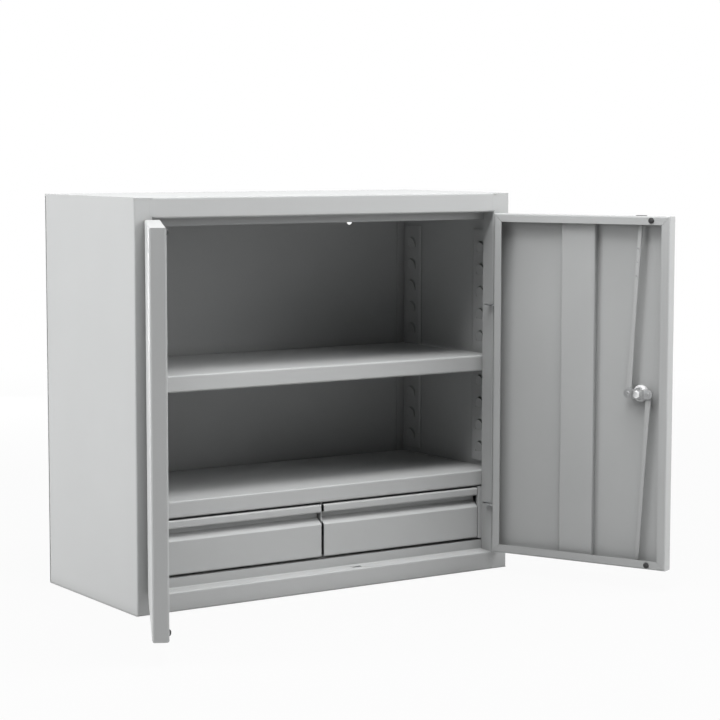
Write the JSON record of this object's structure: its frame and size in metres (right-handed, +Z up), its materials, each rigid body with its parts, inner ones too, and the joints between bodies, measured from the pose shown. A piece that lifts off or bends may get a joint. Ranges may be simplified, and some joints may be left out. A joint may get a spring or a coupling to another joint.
{
  "type": "workshop wall cabinet",
  "caption": "Sheet-steel wall cabinet with hinged doors on concealed hinges, a rod lock, shelves on punched strips and drawers with folded finger grips.",
  "frame": {"origin": "centre of the carcass's underside", "axes": "+X to the right seen from the front, -Y out of the front, +Z up"},
  "size_m": [0.8863, 0.5715, 0.6],
  "materials": {
    "grey_paint": "satin light grey powder coat",
    "plain_steel": "plain rolled steel",
    "bright_zinc": "bright zinc plating",
    "black_rubber": "matt black"
  },
  "bodies": {
    "carcass": {"top_panel": "grey_paint", "bottom_panel": "grey_paint", "back_panel": "grey_paint", "side_panel_left": "grey_paint", "side_panel_right": "grey_paint", "shelf_strip_left_front": "grey_paint", "shelf_strip_left_rear": "grey_paint", "shelf_strip_right_front": "grey_paint", "shelf_strip_right_rear": "grey_paint", "adjustable_shelf": "grey_paint", "fixed_shelf": "grey_paint", "drawer_deck": "grey_paint", "drawer_divider": "grey_paint", "drawer_rail_left_inner": "grey_paint", "drawer_rail_left_outer": "grey_paint", "drawer_rail_right_inner": "grey_paint", "drawer_rail_right_outer": "grey_paint", "hinge_bracket_left_upper": "plain_steel", "hinge_bracket_left_lower": "plain_steel", "hinge_bracket_right_upper": "plain_steel", "hinge_bracket_right_lower": "plain_steel", "hinge_pin_left_upper": "plain_steel", "hinge_pin_left_lower": "plain_steel", "hinge_pin_right_upper": "plain_steel", "hinge_pin_right_lower": "plain_steel"},
    "left_door": {"door_left": "grey_paint", "door_stiffener_left": "grey_paint", "door_buffer_left_top": "black_rubber", "door_buffer_left_bottom": "black_rubber", "hinge_arm_left_upper": "plain_steel", "hinge_arm_left_lower": "plain_steel"},
    "right_door": {"door_right": "grey_paint", "door_stiffener_right": "grey_paint", "door_buffer_right_top": "black_rubber", "door_buffer_right_bottom": "black_rubber", "hinge_arm_right_upper": "plain_steel", "hinge_arm_right_lower": "plain_steel", "lock_barrel": "bright_zinc", "lock_nut": "bright_zinc"},
    "left_drawer": {"drawer_front_left": "grey_paint", "drawer_tray_left": "grey_paint"},
    "right_drawer": {"drawer_front_right": "grey_paint", "drawer_tray_right": "grey_paint"},
    "lock_turn": {"lock_handle": "bright_zinc", "lock_cam": "bright_zinc", "lock_cam_bolt": "bright_zinc", "lock_rivet_upper": "bright_zinc", "lock_rivet_lower": "bright_zinc"},
    "upper_rod": {"lock_rod_upper": "grey_paint"},
    "lower_rod": {"lock_rod_lower": "grey_paint"}
  },
  "joints": [
    {"name": "left_door_hinge", "type": "hinge", "parent": "carcass", "child": "left_door", "pos_m": [-0.308, -0.1405, 0.264], "axis": [0, 0, -1], "range_deg": [-116.85, 3.15]},
    {"name": "right_door_hinge", "type": "hinge", "parent": "carcass", "child": "right_door", "pos_m": [0.308, -0.1405, 0.264], "axis": [0, 0, 1], "range_deg": [-114.2, 5.8]},
    {"name": "left_drawer_slide", "type": "slide", "parent": "carcass", "child": "left_drawer", "axis": [0, -1, 0], "range_m": [0, 0.2]},
    {"name": "right_drawer_slide", "type": "slide", "parent": "carcass", "child": "right_drawer", "axis": [0, -1, 0], "range_m": [0, 0.2]},
    {"name": "lock_turn", "type": "hinge", "parent": "right_door", "child": "lock_turn", "pos_m": [0.41253, -0.37309, 0.298], "axis": [0.9121, 0.4099, 0], "range_deg": [0, 90]},
    {"name": "upper_rod_swing", "type": "hinge", "parent": "lock_turn", "child": "upper_rod", "pos_m": [0.40011, -0.36058, 0.298], "axis": [0.9121, 0.4099, 0], "range_deg": [-93.6, 0]},
    {"name": "lower_rod_swing", "type": "hinge", "parent": "lock_turn", "child": "lower_rod", "pos_m": [0.41364, -0.39068, 0.298], "axis": [0.9121, 0.4099, 0], "range_deg": [-93.6, 0]}
  ],
  "couplings": [
    {"joint": "upper_rod_swing", "follows": "lock_turn", "ratio": -1.0389},
    {"joint": "lower_rod_swing", "follows": "lock_turn", "ratio": -1.0393}
  ]
}
